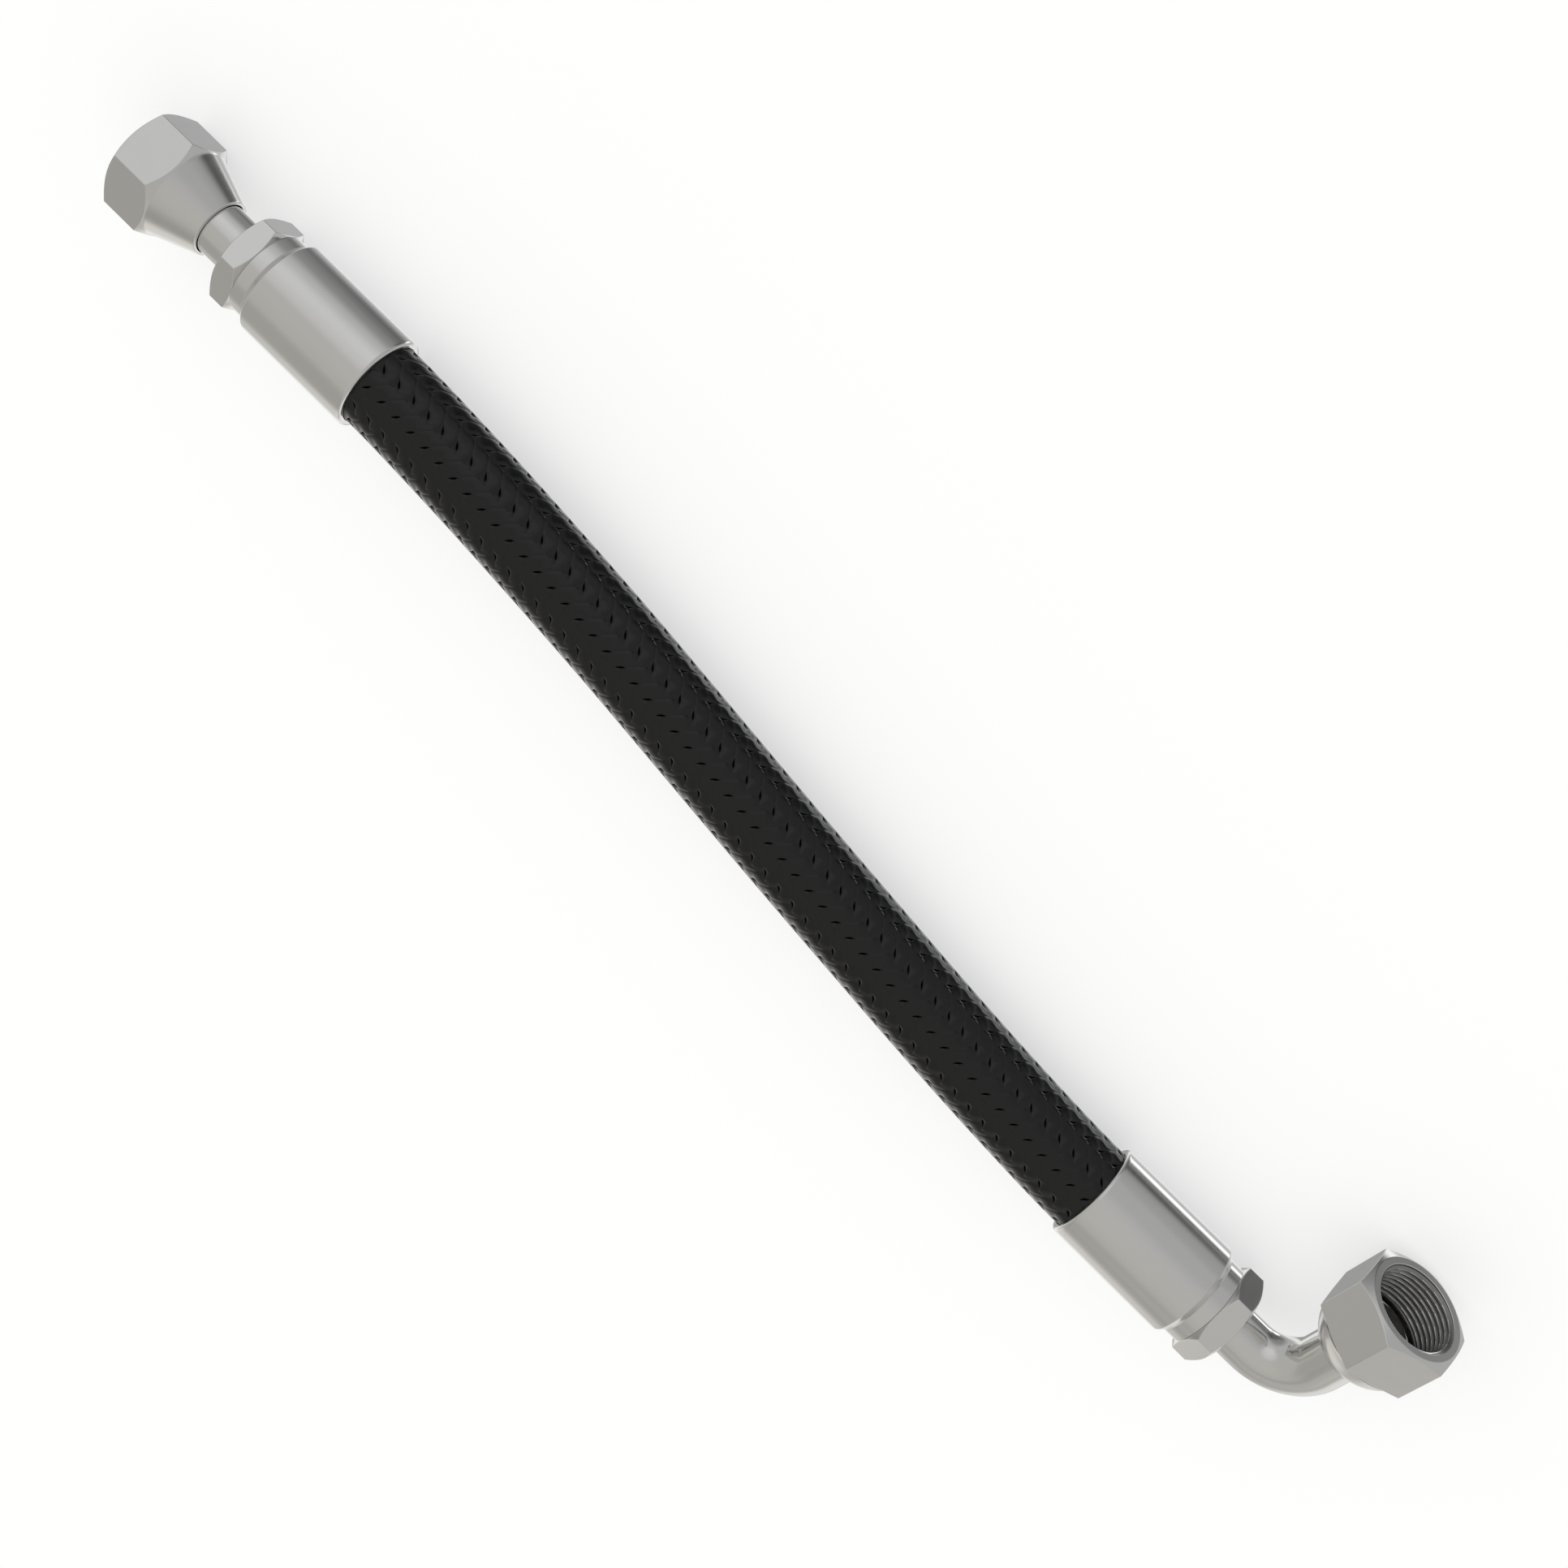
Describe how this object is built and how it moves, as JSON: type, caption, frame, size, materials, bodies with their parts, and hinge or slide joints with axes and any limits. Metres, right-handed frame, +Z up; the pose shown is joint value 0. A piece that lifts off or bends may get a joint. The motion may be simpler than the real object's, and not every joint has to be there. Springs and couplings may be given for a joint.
{
  "type": "hydraulic hose",
  "caption": "Short black braided hydraulic hose with crimped steel ferrules, a straight swivel nut at one end and a right-angle elbow with a swivel nut at the other.",
  "frame": {"origin": "middle of the footprint, on the floor that the part lies on", "axes": "+X along both fittings, from the straight end to the elbow end; +Y the way the elbow's nut opens, seen from above; +Z up"},
  "size_m": [0.4296, 0.06, 0.0314],
  "materials": {
    "hose_cover": "glossy black textile braid",
    "plated_shell": "satin plated",
    "plated_stem": "satin plated",
    "plated_nut": "satin plated"
  },
  "bodies": {
    "hose_and_fittings": {"hose": "hose_cover", "ferrule_straight": "plated_shell", "ferrule_elbow": "plated_shell", "stem_straight": "plated_stem", "stem_elbow": "plated_stem"},
    "straight_nut": {"nut_straight": "plated_nut"},
    "elbow_nut": {"nut_elbow": "plated_nut"}
  },
  "joints": [
    {"name": "swivel_straight", "type": "hinge", "parent": "hose_and_fittings", "child": "straight_nut", "pos_m": [-0.20158, 0.00866, 0.01479], "axis": [-1, 0, -0.0007], "continuous": true},
    {"name": "swivel_elbow", "type": "hinge", "parent": "hose_and_fittings", "child": "elbow_nut", "pos_m": [0.20027, 0.0171, 0.01552], "axis": [0, 0.9987, 0.0516], "continuous": true}
  ]
}
